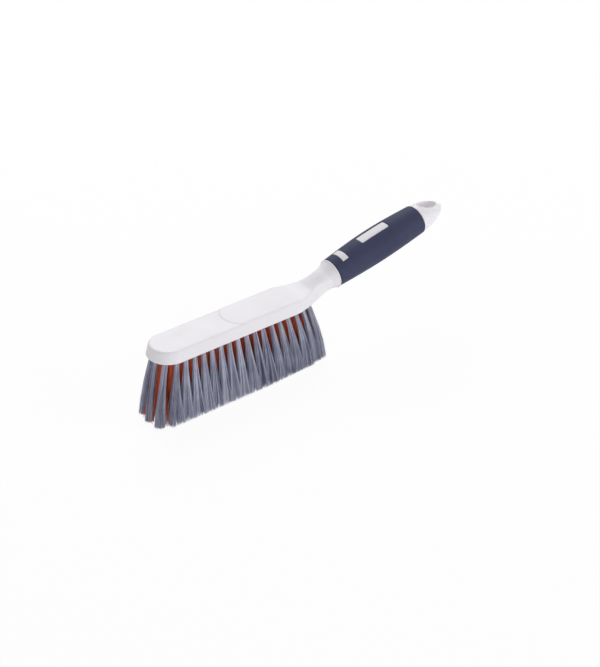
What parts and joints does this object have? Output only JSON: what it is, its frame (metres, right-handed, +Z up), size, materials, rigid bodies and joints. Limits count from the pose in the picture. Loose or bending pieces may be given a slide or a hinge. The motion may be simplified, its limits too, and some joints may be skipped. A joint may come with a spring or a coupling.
{
  "type": "hand brush",
  "caption": "Long hand brush with a white plastic head, neck and handle, a navy soft grip with two windows, a hanging hole, and long grey and orange tufts that flare out below the head.",
  "frame": {"origin": "middle of the object's box, at the bristle tips on which the brush stands", "axes": "+X along the brush from the head's round front to the handle, +Y across it, +Z up from the bristle tips to the head's top"},
  "size_m": [0.3342, 0.0444, 0.1071],
  "materials": {
    "moulding_white": "smooth white polypropylene with a satin shine",
    "block_white": "plain white polypropylene, drilled",
    "sleeve_navy": "soft matt navy over-moulding",
    "bristle_grey": "bundles of fine grey-blue filaments",
    "bristle_orange": "bundles of fine dark orange filaments"
  },
  "bodies": {
    "root": {"grey_tuft_far_01": "bristle_grey", "grey_tuft_far_02": "bristle_grey", "grey_tuft_far_03": "bristle_grey", "grey_tuft_far_04": "bristle_grey", "grey_tuft_far_05": "bristle_grey", "grey_tuft_far_06": "bristle_grey", "grey_tuft_far_07": "bristle_grey", "grey_tuft_far_08": "bristle_grey", "grey_tuft_far_09": "bristle_grey", "grey_tuft_far_10": "bristle_grey", "grey_tuft_far_11": "bristle_grey", "grey_tuft_far_12": "bristle_grey", "grey_tuft_far_13": "bristle_grey", "grey_tuft_far_14": "bristle_grey", "grey_tuft_far_15": "bristle_grey", "grey_tuft_far_16": "bristle_grey", "grey_tuft_front_1": "bristle_grey", "grey_tuft_front_2": "bristle_grey", "grey_tuft_front_3": "bristle_grey", "grey_tuft_near_01": "bristle_grey", "grey_tuft_near_02": "bristle_grey", "grey_tuft_near_03": "bristle_grey", "grey_tuft_near_04": "bristle_grey", "grey_tuft_near_05": "bristle_grey", "grey_tuft_near_06": "bristle_grey", "grey_tuft_near_07": "bristle_grey", "grey_tuft_near_08": "bristle_grey", "grey_tuft_near_09": "bristle_grey", "grey_tuft_near_10": "bristle_grey", "grey_tuft_near_11": "bristle_grey", "grey_tuft_near_12": "bristle_grey", "grey_tuft_near_13": "bristle_grey", "grey_tuft_near_14": "bristle_grey", "grey_tuft_near_15": "bristle_grey", "grey_tuft_near_16": "bristle_grey", "grey_tuft_rear_1": "bristle_grey", "grey_tuft_rear_2": "bristle_grey", "grey_tuft_rear_3": "bristle_grey", "grip_sleeve": "sleeve_navy", "handle_moulding": "moulding_white", "orange_tuft_01": "bristle_orange", "orange_tuft_02": "bristle_orange", "orange_tuft_03": "bristle_orange", "orange_tuft_04": "bristle_orange", "orange_tuft_05": "bristle_orange", "orange_tuft_06": "bristle_orange", "orange_tuft_07": "bristle_orange", "orange_tuft_08": "bristle_orange", "orange_tuft_09": "bristle_orange", "orange_tuft_10": "bristle_orange", "orange_tuft_11": "bristle_orange", "orange_tuft_12": "bristle_orange", "orange_tuft_13": "bristle_orange", "orange_tuft_14": "bristle_orange", "orange_tuft_15": "bristle_orange", "orange_tuft_16": "bristle_orange", "orange_tuft_17": "bristle_orange", "tuft_block": "block_white"}
  },
  "joints": []
}
